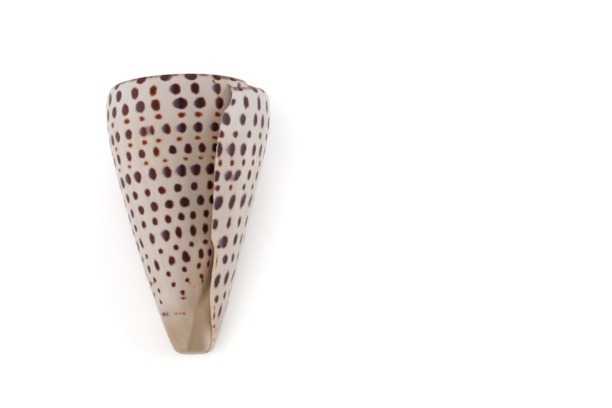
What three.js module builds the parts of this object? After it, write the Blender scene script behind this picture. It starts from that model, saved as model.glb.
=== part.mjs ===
// Cone shell, resting on its back with the mouth up. Millimetres, +Z up.
//
// The shell is one coiled wall. It is laid out round its coiling axis by two
// numbers: the growth angle, which is 0 near the lip and grows backwards round
// the coil, and the share of the way down the side, which is 0 on the shoulder
// crest and 1 at the narrow tip.
import * as THREE from 'three';

// ---- driving dimensions --------------------------------------------------
const SIDE_LENGTH = 91.2;        // shoulder crest at the lip to the narrow tip, along the axis
const WHORLS = 12.5;             // whorls from the lip back to the apex
const GROWTH_POWER = 2.15;       // how quickly the coil widens
const CREST_RADIUS = 29.7;       // axis to the shoulder crest, at the lip
const LIP_THICKNESS = 1.0;       // free edge of the lip
const LIP_BASE_ANGLE = 19;       // degrees from the top of the lying shell to growth angle 0
const RAMP_DIP = 0.075;          // hollow of the whorl tops, as a share of their width
const MOUTH_END = 0.35;          // gap left at the blind end of the mouth
const REST_TILT = 14.9;          // the axis rises this much towards the wide end
const REST_FLAT = 0.45;          // depth of the worn flat the shell rests on

// side profile at the lip: distance below the crest, radius
const SIDE = [[0, 29.7], [0.35, 30.25], [0.8, 30.7], [1.5, 31.15], [2.5, 31.5], [4, 31.75],
  [6, 31.92], [8.4, 31.95], [11.3, 31.85], [14.1, 31.45], [16.9, 30.98], [19.7, 30.45],
  [25.3, 29.15], [31, 27.68], [36.6, 26.07], [42.2, 24.4], [47.9, 22.77], [53.5, 21.11],
  [59.1, 19.37], [64.5, 17.7], [69.7, 15.9], [75, 14.07], [80.3, 12.08], [83, 11.05],
  [85.6, 9.98], [88.2, 8.85], [89.6, 8.1], [90.5, 7.35], [91, 6.6], [91.2, 5.95]];
// whorls back from the lip, height of the crest above its height at the lip
const CREST = [[0, 0], [0.05, 0.5], [0.1, 1.8], [0.16, 2.8], [0.3, 3.6], [0.5, 4.3], [0.7, 4.75],
  [0.9, 5.35], [1, 5.5], [1.1, 5.2], [1.4, 5.1], [2, 5.3], [4, 5.8], [7, 6.4], [10, 7], [12.5, 7.4]];
// whorls back from the lip, depth of the suture under the crest inside it
const SUTURE = [[0, 3], [0.1, 1.7], [0.2, 1], [0.4, 0.65], [1, 0.5], [2, 0.4], [12.5, 0.2]];
// share down the side, how strongly the girth shrinks back round the coil
const SHRINK = [[0, 1], [0.2, 1.06], [0.5, 1.25], [0.75, 1.4], [1, 1.45]];
// distance below the crest, angle of the lip edge from the top of the lying shell
const LIP = [[0, 35.6], [0.7, 35.3], [2.2, 34.7], [5.1, 33.1], [7.1, 31], [8.8, 28], [10.4, 26.5],
  [12.8, 25.8], [15.5, 25.2], [19, 24.2], [23, 23.7], [28, 23.6], [33, 24.1], [38, 24.7],
  [43, 25.3], [48, 25.9], [51.6, 26.3], [53.3, 26.9], [54.6, 29.3], [56.2, 31.4], [60.4, 32],
  [64, 31.8], [68, 32.3], [71.4, 32.8], [73.5, 33.6], [75.6, 35.4], [77.4, 37.7], [79.5, 40.5],
  [81.6, 43.9], [83.6, 49], [87.5, 56], [91.2, 67]];
// distance below the crest, angle where the pillar folds into the mouth
const FOLD = [[0, 60], [40, 50], [54, 39], [62, 30], [69.2, 22], [73.3, 16.5], [75.7, 9.5],
  [78.1, 2.9], [81, 2.2], [84.6, -4.2], [87.6, -12.3], [90.4, -23.3], [91.2, -28]];
// share down the side, degrees over which the fold turns down into the mouth
const FOLD_WIDTH = [[0, 26], [0.72, 26], [0.8, 23], [0.88, 20], [1, 19]];
// share down the side, pillar radius inside the mouth as a share of the outer radius
const PILLAR = [[0, 0.74], [0.5, 0.7], [0.7, 0.68], [0.78, 0.715], [0.84, 0.735], [0.9, 0.735], [1, 0.72]];
const CANAL = 0.87;              // girth of the canal floor under the lip at the narrow tip, as a share
const CANAL_GAP = [[0, 1.7], [0.84, 1.6], [0.93, 1.2], [1, 0.95]]; // share down the side, least drop to it
// share down the side, how far back the mouth runs behind the lip edge, degrees
const MOUTH = [[0, 265], [0.4, 265], [0.6, 215], [0.72, 150], [0.82, 62], [0.92, 26], [1, 15]];
// sideways set of the axis with depth, millimetres
const BEND = [-0.044, -0.0267, 0.000464];

// ---- facets --------------------------------------------------------------
const STEPS = 60;                // facets round one whorl
const SPIRE_STEPS = 270;         // facets along the spire
const MOUTH_STEPS = 14;          // facets back into the mouth
const CREST_ROWS = 3, RIM_ROWS = 2, RAMP_ROWS = 3;
const LOWER_ROWS = [0.056, 0.072, 0.095, 0.125, 0.16, 0.2, 0.25, 0.305, 0.36, 0.415, 0.47, 0.525,
  0.58, 0.635, 0.69, 0.745, 0.795, 0.84, 0.88, 0.915, 0.945, 0.966, 0.982, 0.993, 1];

// ---- curves --------------------------------------------------------------
function curve(points, x) {
  const n = points.length;
  const h = [], s = [];
  for (let i = 0; i < n - 1; i++) {
    h.push(points[i + 1][0] - points[i][0]);
    s.push((points[i + 1][1] - points[i][1]) / h[i]);
  }
  const slope = (i) => (i === 0 ? s[0] : i === n - 1 ? s[n - 2]
    : (s[i - 1] * h[i] + s[i] * h[i - 1]) / (h[i] + h[i - 1]));
  let k = 0;
  while (k < n - 2 && x >= points[k + 1][0]) k++;
  const t = Math.min(1, Math.max(0, (x - points[k][0]) / h[k]));
  return (1 + 2 * t) * (1 - t) ** 2 * points[k][1] + t * (1 - t) ** 2 * h[k] * slope(k)
    + t * t * (3 - 2 * t) * points[k + 1][1] + t * t * (t - 1) * h[k] * slope(k + 1);
}
function ease(a, b, x) {
  const t = Math.min(1, Math.max(0, (x - a) / (b - a)));
  return t * t * (3 - 2 * t);
}
const growth = (n) => Math.max((WHORLS - n) / WHORLS, 1e-9) ** GROWTH_POWER;
const crestHeight = (n) => curve(CREST, n);
const sideLength = (n) => SIDE_LENGTH + crestHeight(n);
const lipAngle = (v) => curve(LIP, v * SIDE_LENGTH) - LIP_BASE_ANGLE;
const sutureDepth = (n) => curve(SUTURE, n) * growth(n) ** 0.7;

function bodyRadius(phi, v) {
  const n = phi / 360;
  const r = curve(SIDE, v * SIDE_LENGTH);
  const g = growth(n) ** curve(SHRINK, v);
  const fold = 360 + curve(FOLD, v * SIDE_LENGTH) - LIP_BASE_ANGLE;
  const width = curve(FOLD_WIDTH, v);
  const f = ease(0, 1, (phi - fold) / width);
  const lift = 0.22 * Math.exp(-(((phi - fold) / 7) ** 2)) * ease(0.72, 0.85, v);
  const under = 360 + lipAngle(v);
  const share = Math.min(curve(PILLAR, v), g), canal = Math.min(CANAL, 1 - curve(CANAL_GAP, v) / r);
  const rise = ease(0.7, 0.83, v)
    * Math.min(1, Math.max(0, (phi - fold - width) / Math.max(under - fold - width, 4)));
  return r * g * (1 - f) + r * (share + (canal - share) * rise) * f + lift;
}
const bodyHeight = (phi, v) => crestHeight(phi / 360) - v * sideLength(phi / 360);

// thickness of the wall, from degrees behind the lip edge
function wall(back, v) {
  const t = LIP_THICKNESS + 0.6 * ease(0, 25, back) + 0.4 * ease(10, 80, back);
  return t * (1 - 0.45 * ease(0.8, 1, v));
}
// top of a whorl between its crest (0) and its suture (1)
function ramp(n, u) {
  const r0 = CREST_RADIUS * growth(n), z0 = crestHeight(n);
  const depth = sutureDepth(n);
  const r1 = bodyRadius((n + 1) * 360, depth / sideLength(n + 1));
  const z1 = crestHeight(n + 1) - depth;
  const dip = RAMP_DIP * (r0 - r1) * 4 * u * (1 - u) * ease(0.05, 0.6, n);
  return [r0 + (r1 - r0) * u, z0 + (z1 - z0) * (1 - (1 - u) ** 1.15) - dip];
}
// from radius, growth angle and height on the axis to a point; x across, y up the axis,
// z towards the side that ends on top
function point(r, phi, z) {
  const a = (LIP_BASE_ANGLE + phi) * Math.PI / 180, d = Math.max(0, -z);
  return new THREE.Vector3(
    r * Math.sin(a) + BEND[0] + BEND[1] * d + BEND[2] * d * d, z, r * Math.cos(a));
}

// ---- the wall ------------------------------------------------------------
const points = [];
const faces = [];
const add = (p) => points.push(p) - 1;
// each four-sided facet is split along its shorter diagonal
const quad = (a, b, c, d) => {
  if (points[a].distanceToSquared(points[c]) <= points[b].distanceToSquared(points[d])) {
    faces.push([a, b, c], [a, c, d]);
  } else {
    faces.push([a, b, d], [b, c, d]);
  }
};

// rows down the side. The first rows end at the suture of the lip, the next cross the
// thickness of the lip, so that the lip can join the earlier whorl row to row.
let start = lipAngle(0) / 360, sutureShare = 0;
for (let i = 0; i < 6; i++) {
  sutureShare = sutureDepth(start) / sideLength(1 + start);
  start = lipAngle(sutureShare) / 360;
}
const rimShare = sutureShare + LIP_THICKNESS / sideLength(1 + start);
const rows = [];
for (let i = 0; i < CREST_ROWS; i++) rows.push(sutureShare * i / CREST_ROWS);
for (let i = 0; i < RIM_ROWS; i++) rows.push(sutureShare + (rimShare - sutureShare) * i / RIM_ROWS);
rows.push(rimShare, ...LOWER_ROWS);
const M = rows.length - 1, KJ = CREST_ROWS + RIM_ROWS, T = RAMP_ROWS, K = CREST_ROWS;

// outside of the last whorl
const side = [];
for (let j = 0; j <= STEPS; j++) {
  side.push(rows.map((v) => {
    const phi = lipAngle(v) + 360 * j / STEPS;
    return add(point(bodyRadius(phi, v), phi, bodyHeight(phi, v)));
  }));
}
for (let j = 0; j < STEPS; j++) {
  for (let i = 0; i < M; i++) quad(side[j][i], side[j][i + 1], side[j + 1][i + 1], side[j + 1][i]);
}

// spire: a ribbon from each crest in to the suture and up to the next crest
const Q = T + K;
const rampBow = (u) => lipAngle(0) + (lipAngle(sutureShare) - lipAngle(0)) * u + 3 * Math.sin(Math.PI * u);
const spire = [];
for (let k = 0; k <= SPIRE_STEPS; k++) {
  const turn = 360 * k / STEPS, line = [];
  for (let m = 0; m <= Q; m++) {
    if (m === 0) line.push(k <= STEPS ? side[k][0] : spire[k - STEPS][Q]);
    else if (k === 0 && m >= T) line.push(side[STEPS][K - (m - T)]);
    else if (m <= T) {
      const phi = rampBow(m / T) + turn, [r, z] = ramp(phi / 360, m / T);
      line.push(add(point(r, phi, z)));
    } else {
      const q = 1 - (m - T) / K, phi = lipAngle(sutureShare * q) + turn;
      const n = (lipAngle(sutureShare) + turn) / 360;
      const v = sutureDepth(n) / sideLength(n + 1) * q;
      line.push(add(point(bodyRadius(phi + 360, v), phi, bodyHeight(phi + 360, v))));
    }
  }
  spire.push(line);
}
for (let k = 0; k < SPIRE_STEPS; k++) {
  for (let m = 0; m < Q; m++) quad(spire[k][m], spire[k + 1][m], spire[k + 1][m + 1], spire[k][m + 1]);
}

// mouth: the inner face of the outer wall, its roof, and the earlier whorl and pillar
const inner = [], roof = [], pillar = [];
for (let e = 0; e <= MOUTH_STEPS; e++) {
  const share = e / MOUTH_STEPS;
  const shut = Math.sqrt(1 - (Math.min(1, Math.max(0, (share - 0.8) / 0.2)) * 0.96) ** 2);
  const backTop = share * MOUTH[0][1];
  const outerFace = rows.map((v) => {
    const back = share * curve(MOUTH, v), phi = lipAngle(v) + back, t = wall(back, v);
    return { phi, r: bodyRadius(phi, v) - t,
      z: bodyHeight(phi, v) - t * Math.exp(-v * sideLength(phi / 360) / 4) };
  });
  const n0 = (lipAngle(sutureShare) + backTop) / 360;
  const top = (sutureDepth(n0) + wall(backTop, 0)) / sideLength(n0 + 1);
  const innerFace = rows.slice(KJ).map((row) => {
    const v = top + (1 - top) * (row - rows[KJ]) / (1 - rows[KJ]);
    const phi = lipAngle(v) + share * curve(MOUTH, v) + 360;
    return { phi, r: bodyRadius(phi, v), z: bodyHeight(phi, v) };
  });
  const middle = outerFace.map((p, i) => (p.r + innerFace[Math.max(0, i - KJ)].r) / 2);
  inner.push(outerFace.map((p, i) => {
    const r = e === 0 ? p.r : middle[i] + Math.max(p.r - middle[i], MOUTH_END / 2) * shut;
    return add(point(r, p.phi, p.z));
  }));
  pillar.push(innerFace.map((p, i) => {
    if (e === 0) return side[STEPS][KJ + i];
    return add(point(middle[KJ + i] + (p.r - middle[KJ + i]) * shut, p.phi, p.z));
  }));
  const line = [inner[e][0]];
  for (let m = 1; m < T; m++) {
    const u = m / T;
    const phi = lipAngle(0) + (lipAngle(sutureShare) - lipAngle(0)) * u
      + 3 * Math.sin(Math.PI * u) * (1 - share) + backTop;
    const z = (ramp(phi / 360, u)[1] - wall(backTop, 0)) * (1 - u ** 3) + innerFace[0].z * u ** 3;
    const r = outerFace[0].r + (innerFace[0].r - outerFace[0].r) * u;
    line.push(add(point(middle[0] + (r - middle[0]) * shut, phi, z)));
  }
  line.push(pillar[e][0]);
  roof.push(line);
}
for (let e = 0; e < MOUTH_STEPS; e++) {
  for (let i = 0; i < M; i++) quad(inner[e][i], inner[e + 1][i], inner[e + 1][i + 1], inner[e][i + 1]);
  for (let m = 0; m < T; m++) quad(roof[e][m], roof[e][m + 1], roof[e + 1][m + 1], roof[e + 1][m]);
  for (let i = 0; i < M - KJ; i++) quad(pillar[e][i], pillar[e][i + 1], pillar[e + 1][i + 1], pillar[e + 1][i]);
}
// blind end of the mouth
const E = MOUTH_STEPS;
for (let i = KJ; i < M; i++) quad(inner[E][i + 1], inner[E][i], pillar[E][i - KJ], pillar[E][i + 1 - KJ]);
const endLoop = [];
for (let i = KJ; i >= 0; i--) endLoop.push(inner[E][i]);
for (let m = 1; m < T; m++) endLoop.push(roof[E][m]);
for (let i = 0; i + 1 < endLoop.length; i++) faces.push([pillar[E][0], endLoop[i], endLoop[i + 1]]);

// free edge of the lip, down the side and across the whorl top
const rim = [side[0]], rimTop = [spire[0].slice(0, T + 1)];
const forward = (phi) => {
  const a = (LIP_BASE_ANGLE + phi) * Math.PI / 180;
  return new THREE.Vector3(-Math.cos(a), 0, Math.sin(a));
};
for (let p = 1; p < RIM_ROWS; p++) {
  const s = p / RIM_ROWS, swell = 0.5 * Math.sin(Math.PI * s);
  rim.push(rows.map((v, i) => add(points[side[0][i]].clone().lerp(points[inner[0][i]], s)
    .addScaledVector(forward(lipAngle(v)), swell * wall(0, v)))));
  const line = [rim[p][0]];
  for (let m = 1; m < T; m++) {
    line.push(add(points[spire[0][m]].clone().lerp(points[roof[0][m]], s)
      .addScaledVector(forward(rampBow(m / T)), swell * LIP_THICKNESS)));
  }
  line.push(side[STEPS][K + p]);
  rimTop.push(line);
}
rim.push(inner[0]);
rimTop.push(roof[0]);
for (let p = 0; p < RIM_ROWS; p++) {
  for (let i = 0; i < M; i++) quad(rim[p][i + 1], rim[p][i], rim[p + 1][i], rim[p + 1][i + 1]);
  for (let m = 0; m < T; m++) quad(rimTop[p][m], rimTop[p][m + 1], rimTop[p + 1][m + 1], rimTop[p + 1][m]);
}

// apex
const apexLoop = [...spire[SPIRE_STEPS]].reverse();
for (let k = SPIRE_STEPS - STEPS + 1; k < SPIRE_STEPS; k++) apexLoop.push(spire[k][Q]);
const apex = add(new THREE.Vector3(BEND[0], crestHeight(WHORLS), 0));
apexLoop.forEach((a, i) => faces.push([a, apexLoop[(i + 1) % apexLoop.length], apex]));

// narrow tip, a spiral strip of wall round the open canal
const tip = [];
for (let j = STEPS; j >= 0; j--) tip.push(side[j][M]);
for (let p = 1; p < RIM_ROWS; p++) tip.push(rim[p][M]);
for (let e = 0; e <= E; e++) tip.push(inner[e][M]);
for (let e = E; e > 0; e--) tip.push(pillar[e][M - KJ]);
const flat = tip.map((i) => new THREE.Vector2(points[i].x, points[i].z));
const turnOf = (a, b, c) => (b.x - a.x) * (c.y - a.y) - (b.y - a.y) * (c.x - a.x);
const tipTurn = Math.sign(THREE.ShapeUtils.area(flat));
for (const [a, b, c] of THREE.ShapeUtils.triangulateShape(flat, [])) {
  const same = Math.sign(turnOf(flat[a], flat[b], flat[c])) === tipTurn;
  faces.push(same ? [tip[a], tip[b], tip[c]] : [tip[a], tip[c], tip[b]]);
}

// ---- lay the shell on its back -------------------------------------------
const tilt = new THREE.Matrix4().makeRotationX(REST_TILT * Math.PI / 180);
points.forEach((p) => p.applyMatrix4(tilt));
const box = new THREE.Box3().setFromPoints(points);
const centre = box.getCenter(new THREE.Vector3());
const floor = box.min.z + REST_FLAT;
points.forEach((p) => p.set(p.x - centre.x, p.y - centre.y, Math.max(0, p.z - floor)));

const geometry = new THREE.BufferGeometry();
geometry.setAttribute('position', new THREE.BufferAttribute(
  new Float32Array(points.flatMap((p) => [p.x, p.y, p.z])), 3));
geometry.setIndex(faces.flat());
geometry.computeVertexNormals();

const material = new THREE.MeshStandardMaterial({ name: 'spotted_shell', color: 0xd9cdc2, roughness: 0.42, metalness: 0 });
const shell = new THREE.Mesh(geometry, material);
shell.name = 'shell';

const part = new THREE.Group();
part.name = 'cone_shell';
part.add(shell);
export default part;
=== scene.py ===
import math

import bpy
import numpy as np
from mathutils import Matrix, Vector
from mathutils.geometry import tessellate_polygon


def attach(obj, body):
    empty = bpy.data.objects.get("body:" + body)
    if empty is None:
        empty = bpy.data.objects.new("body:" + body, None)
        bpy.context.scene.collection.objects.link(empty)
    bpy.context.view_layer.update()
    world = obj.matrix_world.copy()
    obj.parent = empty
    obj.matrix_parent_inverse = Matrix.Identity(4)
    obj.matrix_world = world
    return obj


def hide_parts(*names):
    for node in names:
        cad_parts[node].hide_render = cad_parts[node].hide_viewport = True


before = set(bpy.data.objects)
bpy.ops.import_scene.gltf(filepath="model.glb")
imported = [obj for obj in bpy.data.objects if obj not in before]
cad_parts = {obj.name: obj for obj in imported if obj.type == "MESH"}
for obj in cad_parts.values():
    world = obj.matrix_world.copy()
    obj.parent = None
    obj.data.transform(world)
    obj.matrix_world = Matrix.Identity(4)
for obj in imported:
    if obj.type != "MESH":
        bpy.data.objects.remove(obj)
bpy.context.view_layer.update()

# ---------------------------------------------------------------------------
# The shell. Lengths here are millimetres and angles degrees, as in part.mjs,
# and they turn into metres in the row frame at the very end.
# Each point of the wall has a growth angle, 0 near the lip and growing
# backwards round the coil, and a share of the way down the side.
# ---------------------------------------------------------------------------
SIDE_LENGTH = 91.2
WHORLS = 12.5
GROWTH_POWER = 2.15
CREST_RADIUS = 29.7
LIP_THICKNESS = 1.0
LIP_BASE_ANGLE = 19.0
RAMP_DIP = 0.075
MOUTH_END = 0.35
REST_TILT = 14.9
SHIFT = np.array([-1.1873, 39.1003, 31.2959])     # from the tilted axis to the row frame

SIDE = [[0, 29.7], [0.35, 30.25], [0.8, 30.7], [1.5, 31.15], [2.5, 31.5], [4, 31.75],
        [6, 31.92], [8.4, 31.95], [11.3, 31.85], [14.1, 31.45], [16.9, 30.98], [19.7, 30.45],
        [25.3, 29.15], [31, 27.68], [36.6, 26.07], [42.2, 24.4], [47.9, 22.77], [53.5, 21.11],
        [59.1, 19.37], [64.5, 17.7], [69.7, 15.9], [75, 14.07], [80.3, 12.08], [83, 11.05],
        [85.6, 9.98], [88.2, 8.85], [89.6, 8.1], [90.5, 7.35], [91, 6.6], [91.2, 5.95]]
CREST = [[0, 0], [0.05, 0.5], [0.1, 1.8], [0.16, 2.8], [0.3, 3.6], [0.5, 4.3], [0.7, 4.75],
         [0.9, 5.35], [1, 5.5], [1.1, 5.2], [1.4, 5.1], [2, 5.3], [4, 5.8], [7, 6.4], [10, 7],
         [12.5, 7.4]]
SUTURE = [[0, 3], [0.1, 1.7], [0.2, 1], [0.4, 0.65], [1, 0.5], [2, 0.4], [12.5, 0.2]]
SHRINK = [[0, 1], [0.2, 1.06], [0.5, 1.25], [0.75, 1.4], [1, 1.45]]
LIP = [[0, 35.6], [0.7, 35.3], [2.2, 34.7], [5.1, 33.1], [7.1, 31], [8.8, 28], [10.4, 26.5],
       [12.8, 25.8], [15.5, 25.2], [19, 24.2], [23, 23.7], [28, 23.6], [33, 24.1], [38, 24.7],
       [43, 25.3], [48, 25.9], [51.6, 26.3], [53.3, 26.9], [54.6, 29.3], [56.2, 31.4], [60.4, 32],
       [64, 31.8], [68, 32.3], [71.4, 32.8], [73.5, 33.6], [75.6, 35.4], [77.4, 37.7], [79.5, 40.5],
       [81.6, 43.9], [83.6, 49], [87.5, 56], [91.2, 67]]
FOLD = [[0, 60], [40, 50], [54, 39], [62, 30], [69.2, 22], [73.3, 16.5], [75.7, 9.5],
        [78.1, 2.9], [81, 2.2], [84.6, -4.2], [87.6, -12.3], [90.4, -23.3], [91.2, -28]]
FOLD_WIDTH = [[0, 26], [0.72, 26], [0.8, 17], [0.88, 12], [1, 11]]
PILLAR = [[0, 0.74], [0.5, 0.7], [0.7, 0.68], [0.78, 0.715], [0.84, 0.735], [0.9, 0.735], [1, 0.72]]
MOUTH = [[0, 265], [0.4, 265], [0.6, 215], [0.72, 150], [0.82, 58], [0.92, 14], [1, 6]]
CANAL = [[0, 0.87], [0.85, 0.87], [0.93, 0.92], [0.97, 0.95], [1, 0.95]]     # girth of the canal floor under the lip
CANAL_GAP = [[0, 1.7], [0.84, 1.5], [0.93, 0.82], [0.97, 0.70], [1, 0.65]]   # least drop to it
BEND = [-0.044, -0.0267, 0.000464]

STEPS = 280                  # columns round one whorl
SPIRE_WHORLS = 9.4           # whorls shown on the spire
MOUTH_STEPS = 64
K, J, T = 3, 5, 6            # rows in the suture strip, across the lip edge, across a whorl top
Q = K + T


def curve(points, x):
    p = np.array(points, float)
    X, Y = p[:, 0], p[:, 1]
    h = np.diff(X)
    s = np.diff(Y) / h
    m = np.empty(len(X))
    m[0], m[-1] = s[0], s[-1]
    m[1:-1] = (s[:-1] * h[1:] + s[1:] * h[:-1]) / (h[1:] + h[:-1])
    x = np.asarray(x, float)
    k = np.clip(np.searchsorted(X, x, side="right") - 1, 0, len(X) - 2)
    t = np.clip((x - X[k]) / h[k], 0, 1)
    return ((1 + 2 * t) * (1 - t) ** 2 * Y[k] + t * (1 - t) ** 2 * h[k] * m[k]
            + t * t * (3 - 2 * t) * Y[k + 1] + t * t * (t - 1) * h[k] * m[k + 1])


def ease(a, b, x):
    t = np.clip((np.asarray(x, float) - a) / (b - a), 0, 1)
    return t * t * (3 - 2 * t)


def growth(n):
    return np.maximum((WHORLS - n) / WHORLS, 1e-9) ** GROWTH_POWER


def crest_height(n):
    return curve(CREST, n)


def side_length(n):
    return SIDE_LENGTH + crest_height(n)


def lip_angle(v):
    return curve(LIP, v * SIDE_LENGTH) - LIP_BASE_ANGLE


def suture_depth(n):
    return curve(SUTURE, n) * growth(n) ** 0.7


# growth marks: soft ridges and a few resting lines that run down the side, parallel to the lip
rng = np.random.default_rng(41)
MARKS = [(rng.uniform(18, 60), rng.uniform(0, 6.283), 0.05 * rng.uniform(0.6, 1)) for _ in range(5)] \
    + [(rng.uniform(3.2, 10), rng.uniform(0, 6.283), 0.022 * rng.uniform(0.5, 1)) for _ in range(7)]
RESTS = [(31.0, 0.10), (74.0, 0.06), (128.0, 0.13), (171.0, 0.06), (236.0, 0.10), (301.0, 0.12), (338.0, 0.07)]


def growth_marks(phi, v):
    tau = phi - lip_angle(v)
    r = 0.0
    for period, start, size in MARKS:
        r = r + size * np.cos(tau * 2 * math.pi / period + start + 1.3 * np.sin(v * 9 + start))
    for where, size in RESTS:
        d = tau - where
        r = r + size * (np.exp(-(np.maximum(d, 0) / 5) ** 2) * (d > 0) + np.exp(-(d / 1.1) ** 2) * (d <= 0) - 0.4 * np.exp(-((d + 1.6) / 1.4) ** 2))
    return r * ease(0.004, 0.04, v) * (1 - 0.7 * ease(0.6, 0.85, v)) * (1 - ease(0.93, 1, v)) * (1 - ease(352, 366, phi)) * ease(-2, 10, tau)


def body_radius(phi, v):
    n = phi / 360
    r = curve(SIDE, v * SIDE_LENGTH)
    g = growth(n) ** curve(SHRINK, v)
    fold = 360 + curve(FOLD, v * SIDE_LENGTH) - LIP_BASE_ANGLE
    width = curve(FOLD_WIDTH, v)
    f = ease(0, 1, (phi - fold) / width)
    lift = 0.22 * np.exp(-(((phi - fold) / 7) ** 2)) * ease(0.72, 0.85, v)
    under = 360 + lip_angle(v)
    share = np.minimum(curve(PILLAR, v), g)
    canal = np.minimum(curve(CANAL, v), 1 - curve(CANAL_GAP, v) / r)
    rise = ease(0.7, 0.83, v) * np.clip((phi - fold - width) / np.maximum(under - fold - width, 4), 0, 1)
    return r * g * (1 - f) + r * (share + (canal - share) * rise) * f + lift + growth_marks(phi, v)


def body_height(phi, v):
    return crest_height(phi / 360) - v * side_length(phi / 360)


def wall(back, v):
    t = LIP_THICKNESS + 0.6 * ease(0, 25, back) + 0.4 * ease(10, 80, back)
    return t * (1 - 0.45 * ease(0.8, 1, v))


def ramp(n, u):
    r0, z0 = CREST_RADIUS * growth(n), crest_height(n)
    depth = suture_depth(n)
    r1 = body_radius((n + 1) * 360, depth / side_length(n + 1))
    z1 = crest_height(n + 1) - depth
    width = r0 - r1
    dip = RAMP_DIP * width * 4 * u * (1 - u) * ease(0.05, 0.6, n)
    # two fine spiral grooves and slight growth waves on the whorl top
    tau = n * 360
    dip = dip + 0.035 * width * (np.exp(-((u - 0.36) / 0.07) ** 2) + np.exp(-((u - 0.66) / 0.07) ** 2)) * ease(0.3, 0.8, n) * 0.5
    waves = 0.010 * width * np.sin(tau * 2 * math.pi / 5.3 + 2.0 * np.sin(tau / 37.0) - 2.2 * u) * np.sin(math.pi * u)
    return r0 + (r1 - r0) * u, z0 + (z1 - z0) * (1 - (1 - u) ** 1.15) - dip + waves


def place(r, phi, z):
    a = np.radians(LIP_BASE_ANGLE + phi)
    d = np.maximum(0, -z)
    x = r * np.sin(a) + BEND[0] + BEND[1] * d + BEND[2] * d * d
    return np.stack(np.broadcast_arrays(x, z, r * np.cos(a)), axis=-1)


# ---- vertices: place, growth angle, depth below the crest, growth-mark coordinate, region ------
points, info, faces = [], [], []
count = 0
OUTSIDE, TOP, EDGE, INSIDE, COLUMN, CAP = 0, 1, 2, 3, 4, 5


def add(xyz, phi, down, tau, region, extra=0.0):
    """Adds an array of points and returns their numbers in the same shape."""
    global count
    xyz = np.asarray(xyz, float)
    shape = xyz.shape[:-1]
    n = int(np.prod(shape)) if shape else 1
    points.append(xyz.reshape(-1, 3))
    cols = [np.broadcast_to(np.asarray(c, float), shape).reshape(-1) for c in (phi, down, tau, region, extra)]
    info.append(np.stack(cols, axis=-1))
    ids = np.arange(count, count + n).reshape(shape)
    count += n
    return ids


def sheet(grid_a, grid_b, grid_c, grid_d):
    faces.append(np.stack([g.reshape(-1) for g in (grid_a, grid_b, grid_c, grid_d)], axis=-1))


start = float(lip_angle(0.0)) / 360
for _ in range(8):
    suture_share = float(suture_depth(start) / side_length(1 + start))
    start = float(lip_angle(suture_share)) / 360
rim_share = suture_share + LIP_THICKNESS / float(side_length(1 + start))
rows = [suture_share * i / K for i in range(K)]
rows += [suture_share + (rim_share - suture_share) * i / J for i in range(J)]
step, v = 0.0046, rim_share
rows.append(v)
while v < 0.935:
    v += step
    step = min(0.0077, step * 1.06)
    rows.append(v)
tail = list(v + (1 - v) * (1 - (1 - np.linspace(0, 1, 19)[1:]) ** 1.45))
rows = np.array(rows + tail)
rows[-1] = 1.0
M, KJ = len(rows) - 1, K + J

# a slightly ragged lip edge
edge_noise = sum(a * np.sin(rows * SIDE_LENGTH * f + p) for a, f, p in (
    (0.07, 1.9, 0.4), (0.06, 3.7, 2.1), (0.05, 5.3, 4.4), (0.08, 0.83, 1.0), (0.04, 8.1, 0.2)))
chips = sum(-a * np.exp(-((rows * SIDE_LENGTH - s) / w) ** 2) for a, s, w in (
    (-0.5, 20.3, 0.7), (-0.35, 34.6, 0.7), (-0.6, 40.1, 0.6), (-0.4, 50.8, 0.6), (-0.5, 61.6, 0.7), (-0.4, 66.2, 0.6), (-0.4, 27.6, 0.6)))
ragged = (edge_noise + chips) * ease(0.03, 0.10, rows) * (1 - ease(0.86, 0.97, rows))

lip = lip_angle(rows)
down = rows * SIDE_LENGTH
turn = 360 * np.arange(STEPS + 1) / STEPS

# outside of the last whorl
phi = lip[None, :] + turn[:, None] + ragged[None, :] * np.exp(-turn[:, None] / 3.0)
vv = np.broadcast_to(rows, phi.shape)
side = add(place(body_radius(phi, vv), phi, body_height(phi, vv)), phi, down[None, :], phi - lip, OUTSIDE)
sheet(side[:-1, :-1], side[:-1, 1:], side[1:, 1:], side[1:, :-1])

# spire ribbon, from each crest in to the suture and up to the next crest
spire_steps = int(round(SPIRE_WHORLS * STEPS))
lip0, lip_s = float(lip_angle(0.0)), float(lip_angle(suture_share))


def ramp_bow(u):
    return lip0 + (lip_s - lip0) * u + 3 * math.sin(math.pi * u)


spire = np.zeros((spire_steps + 1, Q + 1), int)
turns = 360 * np.arange(spire_steps + 1) / STEPS
for m in range(1, Q + 1):
    if m <= T:
        u = m / T
        phi = ramp_bow(u) + turns
        r, z = ramp(phi / 360, u)
        ids = add(place(r, phi, z), phi, -u, phi - ramp_bow(u), TOP, r)
    else:
        q = 1 - (m - T) / K
        phi = float(lip_angle(suture_share * q)) + turns
        n = (lip_s + turns) / 360
        share = suture_depth(n) / side_length(n + 1) * q
        ids = add(place(body_radius(phi + 360, share), phi, body_height(phi + 360, share)),
                  phi + 360, share * SIDE_LENGTH, phi + 360 - lip0, OUTSIDE)
    spire[:, m] = ids
    if m >= T:
        spire[0, m] = side[STEPS, K - (m - T)]
for k in range(spire_steps + 1):
    spire[k, 0] = side[k, 0] if k <= STEPS else spire[k - STEPS, Q]
sheet(spire[:-1, :-1], spire[1:, :-1], spire[1:, 1:], spire[:-1, 1:])

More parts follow.
